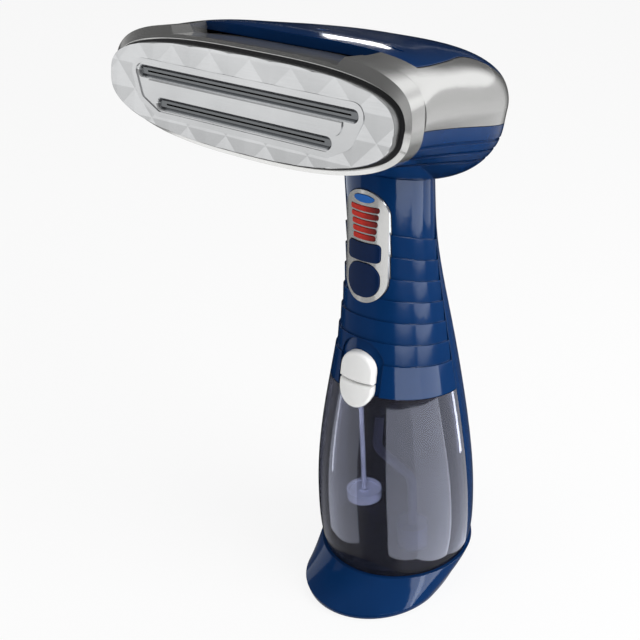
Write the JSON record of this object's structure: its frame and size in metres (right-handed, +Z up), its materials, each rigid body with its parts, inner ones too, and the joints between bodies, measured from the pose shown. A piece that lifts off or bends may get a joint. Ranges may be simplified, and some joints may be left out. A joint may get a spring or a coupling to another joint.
{
  "type": "garment steamer",
  "caption": "Hand-held garment steamer with a wide steam head, a banded grip with buttons, and a smoked lift-off water tank standing in a foot.",
  "frame": {"origin": "on the underside of the rubber sole, below the front of the neck and in the plane of symmetry", "axes": "+Z up; the steam plate faces -Y; +X to the right of someone who faces the plate"},
  "size_m": [0.1557, 0.1507, 0.3101],
  "materials": {
    "navy": "gloss navy moulding",
    "silver": "silver metallic paint",
    "plate": "polished",
    "heater": "as cast",
    "steel": "plain",
    "pearl": "pearl",
    "smoke": "smoked, see-through",
    "milky": "milky",
    "hose": "silicone",
    "seal": "black",
    "sole": "matt black",
    "button": "gloss navy",
    "red": "red light bar",
    "blue": "blue lens",
    "board": "solder mask",
    "black": "black",
    "white": "white"
  },
  "bodies": {
    "housing": {"base_plate": "black", "base_screws": "steel", "chamber_cover": "steel", "chamber_screws": "steel", "circuit_board": "board", "control_panel": "silver", "cord_clamp": "black", "handle_front": "navy", "head_bezel": "silver", "heat_shield": "steel", "heating_element": "steel", "indicator_lens": "blue", "inlet_bush": "seal", "inlet_hose": "hose", "latch_spring": "steel", "level_lights": "red", "light_emitters": "red", "lower_head": "navy", "plate_gasket": "seal", "plate_screws": "steel", "pump": "white", "pump_cradle": "black", "rear_housing": "navy", "rear_screws": "steel", "rubber_sole": "sole", "side_band": "silver", "steam_chamber": "heater", "steam_hose": "hose", "steam_plate": "plate", "tact_switches": "black", "terminal_block": "white", "thermal_fuse": "white", "thermostat": "black", "top_cover": "navy", "valve_seal": "seal", "valve_seat": "white"},
    "tank": {"tank_shell": "smoke", "tank_lid": "smoke", "valve_cap": "smoke", "tank_catch": "pearl", "filter_cap": "milky", "filter_cup": "smoke", "intake_hose": "hose", "intake_weight": "milky"},
    "setting_button": {"setting_button": "button"},
    "steam_button": {"steam_button": "button"},
    "tank_latch": {"tank_latch": "pearl"}
  },
  "joints": [
    {"name": "setting_press", "type": "slide", "parent": "housing", "child": "setting_button", "axis": [0, 1, 0], "range_m": [0, 0.0012], "stiffness_N_per_m": 1500, "springref_m": -0.0008},
    {"name": "steam_press", "type": "slide", "parent": "housing", "child": "steam_button", "axis": [0, 1, 0], "range_m": [0, 0.0012], "stiffness_N_per_m": 1500, "springref_m": -0.0008},
    {"name": "latch_slide", "type": "slide", "parent": "housing", "child": "tank_latch", "axis": [0, 0, 1], "range_m": [0, 0.003], "stiffness_N_per_m": 900, "springref_m": -0.002, "deforming": ["latch_spring"]},
    {"name": "tank_slide", "type": "slide", "parent": "housing", "child": "tank", "axis": [0, -1, 0], "range_m": [0, 0.1]}
  ]
}
